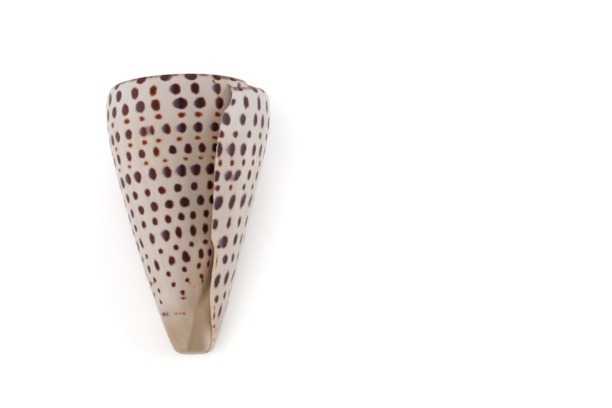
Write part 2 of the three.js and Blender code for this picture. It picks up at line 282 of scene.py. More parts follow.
# mouth: inner face of the outer wall, its roof, the earlier whorl and the pillar
E = MOUTH_STEPS
inner = np.zeros((E + 1, M + 1), int)
pillar = np.zeros((E + 1, M + 1 - KJ), int)
roof = np.zeros((E + 1, T + 1), int)
mouth_run = curve(MOUTH, rows)
inner_lip_z = roof_line = None
for e in range(E + 1):
    share = (e / E) ** 1.15
    shut = math.sqrt(1 - (min(1, max(0, (share - 0.8) / 0.2)) * 0.96) ** 2)
    back_top = share * MOUTH[0][1]
    back = share * mouth_run
    phi_o = lip + back + ragged * math.exp(-e / 2.0)
    t = wall(back, rows)
    r_o = body_radius(phi_o, rows) - t
    z_o = body_height(phi_o, rows) - t * np.exp(-rows * side_length(phi_o / 360) / 4)
    n0 = (lip_s + back_top) / 360
    top = float((suture_depth(n0) + wall(back_top, 0)) / side_length(n0 + 1))
    v_i = top + (1 - top) * (rows[KJ:] - rows[KJ]) / (1 - rows[KJ])
    phi_i = lip_angle(v_i) + share * curve(MOUTH, v_i) + 360
    r_i = body_radius(phi_i, v_i)
    z_i = body_height(phi_i, v_i)
    near = r_i[np.maximum(0, np.arange(M + 1) - KJ)]
    middle = (r_o + near) / 2
    r_show = r_o if e == 0 else middle + np.maximum(r_o - middle, MOUTH_END / 2) * shut
    inner[e] = add(place(r_show, phi_o, z_o), phi_o, down, back, INSIDE, back)
    if e == 0:
        pillar[e] = side[STEPS, KJ:]
    else:
        pillar[e] = add(place(middle[KJ:] + (r_i - middle[KJ:]) * shut, phi_i, z_i),
                        phi_i, v_i * SIDE_LENGTH, phi_i - 360 - lip_angle(v_i), COLUMN, phi_i - 360 - lip_angle(v_i))
    roof[e, 0] = inner[e, 0]
    roof[e, T] = pillar[e, 0]
    for m in range(1, T):
        u = m / T
        phi_r = lip0 + (lip_s - lip0) * u + 3 * math.sin(math.pi * u) * (1 - share) + back_top
        z_r = float((ramp(phi_r / 360, u)[1] - wall(back_top, 0)) * (1 - u ** 3) + z_i[0] * u ** 3)
        r_r = r_o[0] + (r_i[0] - r_o[0]) * u
        roof[e, m] = add(place(middle[0] + (r_r - middle[0]) * shut, phi_r, z_r)[None, :], phi_r, 0.0, back_top, INSIDE, back_top)[0]
sheet(inner[:-1, :-1], inner[1:, :-1], inner[1:, 1:], inner[:-1, 1:])
sheet(roof[:-1, :-1], roof[:-1, 1:], roof[1:, 1:], roof[1:, :-1])
sheet(pillar[:-1, :-1], pillar[:-1, 1:], pillar[1:, 1:], pillar[1:, :-1])
# blind end
sheet(inner[E, KJ + 1:], inner[E, KJ:-1], pillar[E, :-1], pillar[E, 1:])
end_loop = [inner[E, i] for i in range(KJ, -1, -1)] + [roof[E, m] for m in range(1, T)]
triangles = [(pillar[E, 0], end_loop[i], end_loop[i + 1]) for i in range(len(end_loop) - 1)]

# rounded free edge of the lip
all_points = np.concatenate(points)


def forward(phi):
    a = np.radians(LIP_BASE_ANGLE + phi)
    return np.stack(np.broadcast_arrays(-np.cos(a), 0.0, np.sin(a)), axis=-1)


rim, rim_top = [side[0]], [spire[0, :T + 1]]
for p in range(1, J):
    s = p / J
    mix = (1 - math.cos(math.pi * s)) / 2
    swell = 0.55 * math.sin(math.pi * s)
    a, b = all_points[side[0]], all_points[inner[0]]
    xyz = a + (b - a) * mix + forward(lip) * (swell * wall(0, rows))[:, None]
    rim.append(add(xyz, lip, down, -s, EDGE, s))
    line = np.zeros(T + 1, int)
    line[0] = rim[p][0]
    for m in range(1, T):
        a, b = all_points[spire[0, m]], all_points[roof[0, m]]
        xyz = a + (b - a) * mix + forward(ramp_bow(m / T)) * swell * LIP_THICKNESS
        line[m] = add(xyz[None, :], ramp_bow(m / T), 0.0, -s, EDGE, s)[0]
    line[T] = side[STEPS, K + p]
    rim_top.append(line)
rim.append(inner[0])
rim_top.append(roof[0])
for p in range(J):
    sheet(rim[p][1:], rim[p][:-1], rim[p + 1][:-1], rim[p + 1][1:])
    sheet(rim_top[p][:-1], rim_top[p][1:], rim_top[p + 1][1:], rim_top[p + 1][:-1])

# apex
apex_loop = list(spire[spire_steps][::-1]) + [spire[k, Q] for k in range(spire_steps - STEPS + 1, spire_steps)]
apex_phi = 360 * (SPIRE_WHORLS + 1)
apex = add(np.array([[BEND[0], float(crest_height(SPIRE_WHORLS + 0.5)) + 0.35, 0.0]]), apex_phi, -1.0, apex_phi, TOP, 0.3)[0]
triangles += [(a, apex_loop[(i + 1) % len(apex_loop)], apex) for i, a in enumerate(apex_loop)]

# narrow tip: the end of the wall, rounded over before it closes
tip = [side[j, M] for j in range(STEPS, -1, -1)] + [rim[p][M] for p in range(1, J)] \
    + [inner[e, M] for e in range(E + 1)] + [pillar[e, M - KJ] for e in range(E, 0, -1)]
all_points = np.concatenate(points)
loop = all_points[tip]
flat = loop[:, [0, 2]]
area = 0.5 * np.sum(flat[:, 0] * np.roll(flat[:, 1], -1) - np.roll(flat[:, 0], -1) * flat[:, 1])
before, after = np.roll(flat, 3, axis=0), np.roll(flat, -3, axis=0)
tangent = after - before
tangent /= np.maximum(np.linalg.norm(tangent, axis=1), 1e-9)[:, None]
inward = np.stack([-tangent[:, 1], tangent[:, 0]], axis=1) * math.copysign(1, area)
for _ in range(6):
    inward = (inward + np.roll(inward, 1, axis=0) + np.roll(inward, -1, axis=0)) / 3
rings = [np.array(tip)]
for inset, push in ((0.05, 0.10), (0.14, 0.17), (0.24, 0.20)):
    xyz = loop.copy()
    xyz[:, [0, 2]] += inward * inset
    xyz[:, 1] -= push
    rings.append(add(xyz, 20.0, SIDE_LENGTH, 20.0, CAP, 0.0))
for a, b in zip(rings[:-1], rings[1:]):
    sheet(a, np.roll(a, -1), np.roll(b, -1), b)
cap = [Vector((float(x), float(z), 0)) for x, z in np.concatenate(points)[rings[-1]][:, [0, 2]]]
for a, b, c in tessellate_polygon([cap]):
    turned = (cap[b] - cap[a]).cross(cap[c] - cap[a]).z
    if abs(turned) < 1e-9:
        continue
    same = (turned > 0) == (area > 0)
    triangles.append((rings[-1][a], rings[-1][b], rings[-1][c]) if same else (rings[-1][a], rings[-1][c], rings[-1][b]))

xyz = np.concatenate(points)
info = np.concatenate(info)
quads = np.concatenate(faces)
triangles = np.array(triangles)

# ---------------------------------------------------------------------------
# Markings: rows of spots that follow the coil. A row lies DEPTH below the
# crest at the lip and creeps up with growth; the whorl tops have flames.
# angle is measured round the lying shell from its top towards the lip side.
# ---------------------------------------------------------------------------
rng = np.random.default_rng(7)


def row_height(depth, n):
    k = 0.17 + 0.065 * np.clip((depth - 17) / 51, 0, 1.3)
    sway = np.interp(n, [0, 0.05, 0.1, 0.15, 0.25, 0.6, 0.753, 0.808, 0.85, 0.9, 0.98, 1.02],
                     [-0.4, -0.4, 0.1, 0.4, 0.3, -0.4, -0.6, -0.1, 0.05, 0.15, 0.05, -0.2])
    if depth < 15:
        sway = sway - 0.5 * (1 - ease(0.08, 0.2, n))
    return crest_height(n) - depth * np.exp(-k * n) - sway


# depth, (width, height) on the older side, (width, height) behind the lip, warmth, haze,
# angles on the older side, angles behind the lip
ROWS = [
    (6.6, (3.4, 4.2), (3.1, 5.0), 0.15, 0.10, (-58, -40, -24, -7, 8, 26), (33, 44, 58, 73)),
    (12.75, (3.9, 4.3), (3.1, 4.8), 0.05, 0.75, (-50, -35, -22, -3, 12, 28), (28, 41, 54, 65)),
    (17.6, (2.5, 1.8), (2.4, 2.4), 0.85, 0.0, (-70, -49, -34, -20, -2, 11, 27), (25, 36, 49, 64, 78)),
    (23.0, (3.3, 3.9), (3.3, 5.1), 0.08, 0.75, (-64, -49, -34, -26, -14, -2, 11, 25), (24, 34, 45, 58, 69)),
    (27.6, (2.3, 1.55), (2.0, 2.1), 1.0, 0.0, (-71, -49, -34, -21, -4, 11, 26), (26, 36, 48, 60, 73)),
    (32.0, (2.9, 3.6), (2.9, 4.0), 0.05, 0.20, (-70, -53, -38, -24, -10, 3, 15, 27), (24, 34, 43, 58, 72)),
    (36.3, (1.9, 1.25), (1.8, 1.9), 1.0, 0.0, (-74, -55, -35, -17, 1, 14, 26), (26, 38, 54, 68)),
    (41.3, (3.4, 4.4), (3.6, 5.4), 0.0, 0.85, (-61, -47, -30, -16, -3, 10, 24), (28, 42, 57, 71)),
    (48.8, (2.8, 3.2), (2.5, 4.1), 0.12, 0.10, (-72, -56, -39, -23, -7, 9, 25), (27, 42, 58, 74)),
    (55.4, (3.0, 3.6), (2.9, 4.3), 0.02, 0.30, (-71, -52, -34, -17, -1, 16, 29), (39, 57, 71)),
    (61.9, (2.5, 2.9), (2.1, 3.5), 0.05, 0.10, (-73, -53, -36, -20, -5, 8, 23), (45, 59, 74)),
    (69.1, (2.5, 4.2), (2.6, 5.0), 0.02, 0.15, (-68, -45, -25, -9, 8, 23), (38, 54, 73)),
    (75.6, (2.0, 2.0), (1.6, 2.6), 0.18, 0.0, (-64, -36, -14, 6, 24, 35), (42, 59, 78)),
    (81.2, (2.3, 3.3), (1.6, 4.2), 0.05, 0.0, (-67, -47, -22, -2, 19, 32), (56, 82)),
    (86.6, (2.0, 2.0), (1.3, 2.0), 0.12, 0.0, (-60, -30, -5, 16, 31), (95,)),
    (91.6, (1.7, 1.7), (1.3, 1.6), 0.15, 0.0, (-57, -25, -2, 21), (118,)),
    (96.2, (1.6, 1.8), (1.2, 1.4), 0.15, 0.0, (-61, -11), (150,)),
]
# shape changes to single spots: (row, angle) -> width, height, lean, warmth, haze; None keeps the row's
ODD = {
    (1, -3): (4.9, 4.6, 0, None, 0.75), (0, -24): (3.0, 4.1, 0, 0.85, None), (0, -7): (3.9, 4.4, 0, 0.25, 0.7), (1, -50): (3.6, 4.6, -12, None, 0.2), (0, 26): (3.4, 4.4, 0, 0.1, 0.9), (1, -22): (3.5, 4.4, -24, 0.45, 0.1),
    (1, -35): (3.9, 4.6, -16, None, 0.5), (3, -34): (3.3, 3.9, 0, None, 0.9), (3, -26): (2.2, 3.9, 0, 0.5, None),
    (3, -2): (3.6, 4.1, 0, None, 1.3), (3, -14): (3.4, 4.1, 0, 0.45, 1.0), (5, -24): (2.6, 3.6, 0, 0.6, 0.0),
    (7, -3): (3.7, 4.6, 0, None, 1.2), (7, 10): (3.6, 4.5, 4, None, 0.8), (7, 24): (3.4, 4.5, 6, None, 0.5), (7, -30): (3.2, 4.5, 0, None, 0.6), (7, -16): (3.2, 4.6, 0, 0.15, 1.1), (8, -23): (2.9, 3.1, -20, 0.5, 0.0),
    (9, -1): (3.5, 4.0, 0, None, 0.2), (11, -9): (2.6, 4.3, -8, 0.1, 0.0), (11, -25): (3.2, 4.2, 6, None, 0.9),
    (5, 34): (3.0, 4.3, 40, 0.1, 0.8), (5, 43): (2.7, 4.8, 30, 0.05, 0.3), (9, 39): (3.7, 4.9, -8, None, 1.3),
    (13, -2): (3.0, 4.3, -6, 0.0, 0.2), (13, -47): (2.3, 4.2, -8, None, None), (2, 36): (2.4, 2.4, 0, 0.35, 0.6),
    (7, 28): (3.2, 5.6, 16, None, None), (7, 42): (3.0, 5.6, 16, None, None), (11, 38): (2.45, 5.5, 10, None, 0.1), (12, 42): (2.0, 2.9, 6, 0.1, 0.3), (13, 32): (1.9, 3.4, 0, 0.1, 0.5),
    (10, 45): (2.6, 3.7, 4, 0.05, 0.3), (10, 59): (2.4, 3.5, 4, 0.05, 0.2), (11, 54): (2.4, 5.2, 8, 0.05, 0.2), (12, 59): (1.9, 2.7, 6, 0.1, 0.2),
    (13, 56): (1.6, 4.3, 0, 0.05, 0.0),
    (14, 16): (1.7, 2.6, 10, 0.2, 0.0), (14, 31): (1.3, 2.4, 10, 0.2, 0.0), (3, 34): (3.6, 5.0, 0, None, 1.1),
    (0, 33): (2.0, 3.2, 28, 0.2, 0.4), (0, 44): (2.7, 5.0, -6, 0.2, 0.0), (12, 35): (1.4, 2.0, 12, 0.3, 0.0), (1, 28): (3.3, 4.7, -4, None, 0.4), (16, -11): (2.0, 1.7, 0, 0.15, 0.4),
}

spots = []        # growth angle, height, width, height of spot, lean, warmth, haze, roundness
for i, (depth, old, new, warm, haze, left, right) in enumerate(ROWS):
    angles = [(a - LIP_BASE_ANGLE, a) for a in right]
    first = left[0] + 341.0
    gap_new = float(np.mean(np.diff(right))) if len(right) > 1 else 16.0
    gap_old = float(np.mean(np.diff(left)))
    a = right[-1] - LIP_BASE_ANGLE
    n_fill = max(1, int(round((first - a) / (0.5 * gap_new + 0.5 * gap_old))) - 1)
    gap = (first - a) / (n_fill + 1)
    for f in range(n_fill):
        angles.append((a + gap * (f + 1) + rng.uniform(-0.16, 0.16) * gap, None))
    angles += [(b + 341.0, b) for b in left]
    for phi_c, named in angles:
        share = float(ease(60, 270, phi_c))
        w = new[0] + (old[0] - new[0]) * share
        h = new[1] + (old[1] - new[1]) * share
        w *= rng.uniform(0.92, 1.08) * (0.88 + 0.13 * share)
        h *= rng.uniform(0.93, 1.07)
        if warm > 0.5:
            w, h = w * 1.12, h * 1.15
        elif share == 0.0 and depth > 20:
            w *= 1 - 0.22 * float(ease(15, 55, phi_c))
        lean = rng.normal(0, 4) + 6 * (1 - share) * (depth > 30)
        warmth = warm * (0.55 + 0.45 * share) if warm > 0.5 else warm
        warmth = float(np.clip(warmth + rng.uniform(-0.06, 0.10), 0, 1))
        hz = haze * rng.uniform(0.25, 1.1) if haze > 0 else 0.0
        skew = rng.uniform(-0.25, 0.25)
        if (i, named) in ODD:
            ow, oh, ol, owarm, ohz = ODD[(i, named)]
            w, h, lean = ow * 0.98, oh, ol
            warmth = warmth if owarm is None else owarm
            hz = hz if ohz is None else ohz
        height = float(row_height(depth, phi_c / 360)) + (rng.uniform(-0.3, 0.3) if named is None else 0.0)
        spots.append((phi_c, height, w, h, lean, warmth, hz, skew, depth))
# a few loose flecks below the rows
for phi_c, height, w, h, lean, warmth, hz in (
        (343.4, -68.10, 1.0, 0.7, -30, 0.9, 0.0), (350.2, -69.05, 0.9, 0.7, 10, 0.95, 0.0), (364.2, -67.4, 0.9, 3.6, -6, 0.3, 0.0),
        (330.0, -72.88, 2.5, 1.1, 0, 0.0, 0.5),
        (311.0, -78.15, 1.3, 0.9, 0, 0.8, 0.0), (320.0, -78.25, 1.0, 0.8, 0, 0.95, 0.0),
        (328.0, -78.35, 1.6, 1.1, 0, 0.85, 0.0), (273.5, -77.8, 1.6, 1.2, 0, 0.1, 1.0), (279.0, -77.9, 1.3, 1.3, 20, 0.15, 1.0), (287.5, -78.0, 1.2, 1.2, -20, 0.2, 1.0), (274.4, -66.74, 1.1, 1.0, 0, 0.9, 0.0),
        (14.6, -60.4, 0.6, 3.6, 0, 1.0, 0.0), (5.6, -53.4, 1.0, 2.0, 0, 0.1, 0.2), (15.0, -55.4, 2.0, 1.6, -35, 0.5, 0.0), (21.5, -76.18, 0.6, 1.2, 0, 1.0, 0.0),
        (24.0, -79.07, 0.9, 2.9, 0, 0.3, 0.0), (30.0, -82.76, 1.1, 1.3, 0, 0.4, 0.0), (39.0, -84.05, 1.0, 0.9, 0, 1.0, 0.0),
        (42.0, -87.31, 0.6, 0.9, 0, 1.0, 0.0), (364.4, 2.7, 1.2, 1.6, -30, 1.0, 0.0)):
    spots.append((phi_c, height, w, h, lean, warmth, hz, 0.0, 80.0))
# bluish shades between joined spots, and a smudge near the tip: angle, height, width, height, strength
bridges = [(311, float(row_height(23.0, 311 / 360)), 3.9, 3.5, 1.0), (19.5, float(row_height(32.0, 19.5 / 360)) - 0.8, 3.0, 2.4, 1.0),
           (281.5, -77.9, 1.9, 1.9, 0.8), (286.0, -78.0, 1.8, 2.0, 0.8), (291.0, -78.0, 1.8, 1.7, 0.7), (277.0, -77.9, 1.8, 1.8, 0.8)]
spots = np.array(spots)

v_phi, v_down, v_tau, v_region, v_extra = info.T
a = np.radians(LIP_BASE_ANGLE + v_phi)
depth_mm = np.maximum(0, -xyz[:, 1])
centre_x = BEND[0] + BEND[1] * depth_mm + BEND[2] * depth_mm ** 2
v_radius = np.hypot(xyz[:, 0] - centre_x, xyz[:, 2])
v_height = xyz[:, 1]
outer_skin = (v_region == OUTSIDE) | (v_region == COLUMN) | (v_region == EDGE) | (v_region == CAP)

far = 6.0
spot_d = np.full(len(xyz), far)
halo_d = np.full(len(xyz), far)
halo_s = np.zeros(len(xyz))
fade_v = np.zeros(len(xyz))
across_v = np.zeros(len(xyz))
warm_v = np.zeros(len(xyz))
cool_v = np.zeros(len(xyz))
which = np.where(outer_skin)[0]
px, pz, pr = v_phi[which], v_height[which], v_radius[which]
best = np.full(len(which), far)
b_warm = np.zeros(len(which))
b_cool = np.zeros(len(which))
b_halo = np.full(len(which), far)
b_hs = np.zeros(len(which))
b_fade = np.zeros(len(which))
b_across = np.zeros(len(which))
b_ruddy = np.zeros(len(which))
ruddy_v = np.zeros(len(xyz))
wob = np.random.default_rng(19)
for phi_c, height, w, h, lean, warmth, hz, skew, depth in spots:
    near = np.where((np.abs(px - phi_c) < 30) & (np.abs(pz - height) < 8))[0]
    if not len(near):
        continue
    x = np.radians(px[near] - phi_c) * pr[near]
    y = (pz[near] - height) * 1.03
    keep = (np.abs(x) < 9)
    near, x, y = near[keep], x[keep], y[keep]
    c, s = math.cos(math.radians(lean)), math.sin(math.radians(lean))
    x, y = x * c - y * s, x * s + y * c
    across = 2 * x / w
    # a hazy spot narrows and trails off on the side that grew last
    y = y * (1 + 0.40 * min(1.2, hz) * np.clip(-across, 0, 1.4))
    x = np.where(x < 0, x / (1 + 0.34 * min(1.2, hz)), x)
    # egg shape: wider on the side that grew first
    egg = 1 + skew * y / h + 0.10 * x / w
    th = np.arctan2(y / h, x / w)
    wobble = 1 + 0.035 * np.sin(2 * th + wob.uniform(0, 6.28)) + 0.028 * np.sin(3 * th + wob.uniform(0, 6.28)) + 0.012 * np.sin(5 * th + wob.uniform(0, 6.28))
    q = (np.abs(2 * x / (w * egg)) ** 2.25 + np.abs(2 * y / h) ** 2.25) ** (1 / 2.25) / wobble
    d = (q - 1) * min(w, h) / 2
    better = d < best[near]
    idx = near[better]
    best[idx] = d[better]
    b_warm[idx] = warmth
    b_cool[idx] = 0.0 if depth == 80.0 else 1 - ease(120, 300, phi_c)
    b_fade[idx] = min(1.0, hz) * ease(0.15, -1.15, across[better]) if hz > 0.05 else 0.0
    b_across[idx] = across[better]
    b_ruddy[idx] = ease(-8, -36, phi_c - 341) * ease(140, 260, phi_c) * (1 - 0.45 * ease(15, 40, depth))
for phi_c, height, w, h, strength in bridges:
    x, y = np.radians(px - phi_c) * pr, pz - height
    d = (np.sqrt((2 * x / w) ** 2 + (2 * y / h) ** 2) - 1) * min(w, h) / 2
    better = d < b_halo
    b_halo[better], b_hs[better] = d[better], strength
spot_d[which], warm_v[which], cool_v[which] = best, b_warm, b_cool
halo_d[which], halo_s[which] = b_halo, b_hs
fade_v[which] = b_fade
across_v[which] = b_across
ruddy_v[which] = b_ruddy

# flames on the whorl tops, which lap over the shoulder
flames = []
given = [(-63 + 341, 4.0), (-35 + 341, 4.4), (-14 + 341, 4.6), (5.5 + 341, 4.8), (27 + 341, 3.6), (41 - 19, 2.6), (56 - 19, 3.6), (69 - 19, 3.2)]
for p, w in given:
    flames.append((p, w))
p = 50 + 19.0
while p < 262:
    flames.append((p, rng.uniform(3.2, 4.8)))
    p += rng.uniform(17, 25)
p = 384.0
while p < 360 * (SPIRE_WHORLS + 1):
    g = float(growth(p / 360))
    flames.append((p, rng.uniform(0.11, 0.17) * CREST_RADIUS * g))
    p += rng.uniform(17, 27) * (1 + 0.35 * (1 - g))
flames = np.array(flames)
which = np.where((v_region == TOP) | ((v_region == OUTSIDE) & (v_down < 4)) | (v_region == EDGE) & (v_down < 1))[0]
fx, fr = v_phi[which], v_radius[which]
n_here = fx / 360
gap_w = CREST_RADIUS * (growth(n_here) - growth(n_here + 1))
t = np.where(v_down[which] < 0, -v_down[which], -v_down[which] / 1.0)       # share of the top, or mm down the side as a negative
best = np.full(len(which), far)
for j, (p, w) in enumerate(flames):
    near = np.where(np.abs(fx - p) < 30)[0]
    if not len(near):
        continue
    top_here = v_region[which[near]] == TOP
    tt = t[near]
    slant = 5.0 * math.sin(j * 2.7) + 4.0
    x = np.radians(fx[near] - p - np.where(top_here, slant * tt, 0)) * fr[near]
    scale = max(0.35, w / 4.2)
    half_top = 0.5 * w * np.maximum(0.05, (0.81 - 0.3 * np.maximum(tt, 0)))
    d_top = np.abs(x) - half_top
    end = (np.maximum(tt, 0) - rng.uniform(0.72, 1.1)) * gap_w[near]
    d_top = np.maximum(d_top, end)
    lap = 2.3 * min(1.0, scale)
    q = np.sqrt((2 * x / w) ** 2 + ((np.maximum(v_down[which[near]], 0) - 0.42 * lap) / (0.72 * lap)) ** 2)
    d_side = (q - 1) * min(w / 2, lap)
    d = np.where(top_here, d_top, d_side)
    better = d < best[near]
    best[near[better]] = d[better]
closer = best < spot_d[which]
flame_share = np.zeros(len(xyz))
flame_share[which] = (best < 0.8) & closer
spot_d[which] = np.minimum(best, spot_d[which])
warm_v[which] = np.where(closer, 0.30, warm_v[which])
cool_v[which] = np.where(closer, 0.25, cool_v[which])

# stain_and_shade: tan glaze beside and inside the mouth, and towards the narrow tip; beside the lip it is partly tan
# stain and partly painted shade from the lip
lip_here = lip_angle(np.clip(v_down / SIDE_LENGTH, 0, 1))
ahead = lip_here + 360 - v_phi                       # degrees short of going under the lip
s = np.clip(v_down / SIDE_LENGTH, 0, 1)
fold_here = curve(FOLD, np.clip(v_down, 0, SIDE_LENGTH)) - LIP_BASE_ANGLE
# partly tan stain, partly painted shade close to the lip
beside_stain_and_shade = 0.66 * (1 - ease(-5, 118, ahead)) + 0.34 * np.exp(-np.maximum(ahead, 0) / 10.0)
beside_stain_and_shade = beside_stain_and_shade * (0.80 + 0.10 * ease(0.08, 0.4, s) + 0.35 * ease(0.55, 0.8, s))
stain_and_shade = np.where(v_region == OUTSIDE, beside_stain_and_shade * ease(-0.08, 0.06, s) * (1 + 0.12 * (1 - ease(0.12, 0.19, s))) * (v_phi < 400), 0.0)
stain_and_shade = np.where(v_region == COLUMN, 0.60 + 0.15 * ease(0.08, 0.3, s) + 0.25 * ease(0.5, 0.75, s), stain_and_shade)
# painted shade beside the mouth, where the lip shades the older side, darkens ground and spots alike, and the wall just
# behind the lip edge is darkened a little too
LIP_SHADE_BY_ANGLE = [[-5, 0.1], [0, 0.15], [5, 0.3], [9, 0.55], [14, 0.95], [19, 1], [26, 0.75], [36, 0.42], [46, 0.18], [58, 0.05], [75, 0]]
LIP_SHADE_BY_DEPTH = [[0, 0.4], [0.07, 0.5], [0.15, 0.6], [0.235, 0.8], [0.32, 1], [0.5, 1.05], [0.58, 0.8], [0.67, 0.5],
             [0.755, 0.42], [0.84, 0.3], [0.95, 0], [1, 0]]
# painted shade from the lip: strongest 14-19 degrees short of the lip, weaker near the top and towards the tip
lip_shade = curve(LIP_SHADE_BY_ANGLE, np.clip(ahead - 14 * ease(0.55, 0.66, s), -5, 75)) * curve(LIP_SHADE_BY_DEPTH, s)
lip_shade = np.where((v_region == OUTSIDE) & (v_phi < 400), np.clip(lip_shade, 0, 1.1), 0.0)
back_mm = (v_phi - lip_here) * v_radius * math.pi / 180
# darkens the wall just behind the lip edge, fading out between 4 and 12.5 mm back
darker_behind_lip = (1 - ease(4.0, 12.5, back_mm)) * ease(0.12, 0.24, s) * (1 - 0.55 * ease(0.5, 0.68, s)) * (1 - ease(0.9, 1, s))
darker_behind_lip = np.where((v_region == OUTSIDE) & (v_phi < 100), darker_behind_lip, 0.0)
# painted light: lightens the notch at the top of the mouth and, lower down, the wall right beside the lip, where the
# lip shades them
notch_painted_light = (1 - ease(0.12, 0.19, s)) * ease(0.02, 0.05, s) * np.where(
    v_region == OUTSIDE, 0.28 * (1 - ease(0.5, 4.5, ahead)) * (v_phi < 400), np.where(v_region == COLUMN, 0.22, 0.0))
lip_painted_light = (1 - ease(5, 16, ahead)) * ease(0.6, 0.66, s) * (1 - ease(0.8, 0.88, s)) * ((v_region == OUTSIDE) & (v_phi < 400))
fore = np.maximum(ease(0.74, 0.93, s), 0.32 * ease(0.45, 0.85, s))
fore = np.maximum(fore, 0.85 * ease(0.68, 0.84, s) * (1 - ease(12, 60, ahead - (lip_here - fold_here))))
late = 1 - ease(20, 110, v_phi - lip_here)           # behind the lip the tip stays paler
stain_and_shade = np.maximum(stain_and_shade, np.where(v_region == OUTSIDE, fore * (0.85 - 0.6 * late), 0.0))
stain_and_shade = np.where(v_region == CAP, 0.7, stain_and_shade)
glaze = np.where(v_region == INSIDE, 0.25 + 0.75 * ease(0, 6, v_extra), 0.0)
fold_at = curve(FOLD, np.clip(v_down, 0, SIDE_LENGTH)) - LIP_BASE_ANGLE
past = v_phi - 360 - fold_at - 5 * (1 - ease(0.70, 0.78, s)) * ease(0.55, 0.62, s)
glaze = np.where(v_region == COLUMN, np.maximum(ease(0.5, 6, past), ease(9, 16, v_extra)), glaze)
glaze = np.where((v_region == OUTSIDE) & (v_phi > 300) & (v_phi < 400), ease(0.5, 6, past), glaze)
glaze = np.where(v_region == CAP, 0.35, glaze)
edge = np.where(v_region == EDGE, 1.0, 0.0)
near_lip = np.where(v_region == OUTSIDE, 1 - ease(0, 0.5 + 1.0 * ease(0.6, 0.72, s), (v_phi - lip_here) * v_radius * math.pi / 180), 0.0) * (v_phi < 100)
edge = np.maximum(edge, near_lip * ease(0.10, 0.2, s))
tinge = sum(a * np.exp(-((v_down - c_) / w_) ** 2) for a, c_, w_ in ((0.9, 62.5, 3.0), (0.5, 57.0, 1.2), (0.8, 78.5, 1.6), (0.6, 84.0, 1.5), (0.35, 30.0, 3.0), (0.4, 71.0, 1.5), (0.3, 45.0, 2.0), (0.5, 88.0, 1.2)))
spot_d = spot_d + 8 * glaze                           # the glaze covers the spots
spot_d = np.where(v_region == EDGE, np.maximum(spot_d, v_extra * 1.0 - 0.35), spot_d)
spot_d = np.where(v_region == CAP, far, spot_d)
spot_d = np.where(v_region == INSIDE, far, spot_d)
halo_s = halo_s * (1 - glaze)

# ---------------------------------------------------------------------------
# into the row frame
# ---------------------------------------------------------------------------
c, s_ = math.cos(math.radians(REST_TILT)), math.sin(math.radians(REST_TILT))
world = np.stack([xyz[:, 0], xyz[:, 1] * c - xyz[:, 2] * s_, xyz[:, 1] * s_ + xyz[:, 2] * c], axis=-1) + SHIFT
worn = world[:, 2]
world[:, 2] = 0.5 * (worn + np.sqrt(worn ** 2 + 0.02))            # the worn flat it rests on
world[:, 2] -= world[:, 2].min()
world *= 0.001

mesh = bpy.data.meshes.new("cone_shell")
n_loops = quads.size + triangles.size
n_polys = len(quads) + len(triangles)
mesh.vertices.add(len(world))
mesh.vertices.foreach_set("co", world.astype(np.float32).reshape(-1))
mesh.loops.add(n_loops)
mesh.loops.foreach_set("vertex_index", np.concatenate([quads.reshape(-1), triangles.reshape(-1)]).astype(np.int32))
mesh.polygons.add(n_polys)
starts = np.concatenate([np.arange(len(quads)) * 4, len(quads) * 4 + np.arange(len(triangles)) * 3])
mesh.polygons.foreach_set("loop_start", starts.astype(np.int32))
mesh.update(calc_edges=True)
mesh.validate()
mesh.polygons.foreach_set("use_smooth", np.ones(len(mesh.polygons), bool))
mesh.set_sharp_from_angle(angle=math.radians(62))


def store(name, values):
    layer = mesh.attributes.new(name, "FLOAT", "POINT")
    layer.data.foreach_set("value", np.asarray(values, np.float32))


store("spot", np.clip(spot_d, -3, 4))
store("warm", warm_v)
store("cool", cool_v)
store("halo", np.clip(halo_d, -3, 4))
store("halo_strength", halo_s)
store("fade", fade_v * (1 - glaze))
store("across", np.clip(across_v, -1.6, 1.6))
store("stain_and_shade", stain_and_shade)
store("lip_shade", lip_shade)
store("darker_behind_lip", darker_behind_lip)
store("painted_light", np.maximum(notch_painted_light, 0.4 * lip_painted_light))
store("ruddy", ruddy_v)
# painted highlight: lighter glaze inside the canal and on the pillar near the tip
store("canal_highlight", np.where((v_region == INSIDE) | (v_region == COLUMN), 1.6 * ease(0.895, 0.965, s), ease(34, 4, ahead) * ease(0.89, 0.968, s)) * glaze)
store("glaze", glaze)
store("edge", edge)
store("tinge", np.clip(tinge, 0, 1))
store("grow", v_tau / 360 * 190)           # millimetres round the coil at the widest part
store("down", np.where(v_down < 0, 0, v_down))
store("tops", (v_region == TOP).astype(float))
gap_all = CREST_RADIUS * (growth(v_phi / 360) - growth(v_phi / 360 + 1))
crest_mm = np.where(v_region == TOP, -v_down * gap_all * 3.0 + 0.4, v_down)
crest_mm = np.where((v_region == EDGE) & (v_down < 0.01), 0.25, crest_mm)
store("crest", np.clip(crest_mm, 0, 5))
store("bold", np.clip(ease(361, 366, v_phi) * (v_phi < 380) + 1 - ease(19.5, 22, v_phi), 0, 1) * (v_down < 4))   # the crest darkens at the lip

shell = bpy.data.objects.new("shell_skin", mesh)
bpy.context.scene.collection.objects.link(shell)


# ---------------------------------------------------------------------------
# Material
# ---------------------------------------------------------------------------
def lin(r, g, b):
    def f(c):
        c /= 255
        return c / 12.92 if c <= 0.04045 else ((c + 0.055) / 1.055) ** 2.4
    return (f(r), f(g), f(b), 1.0)


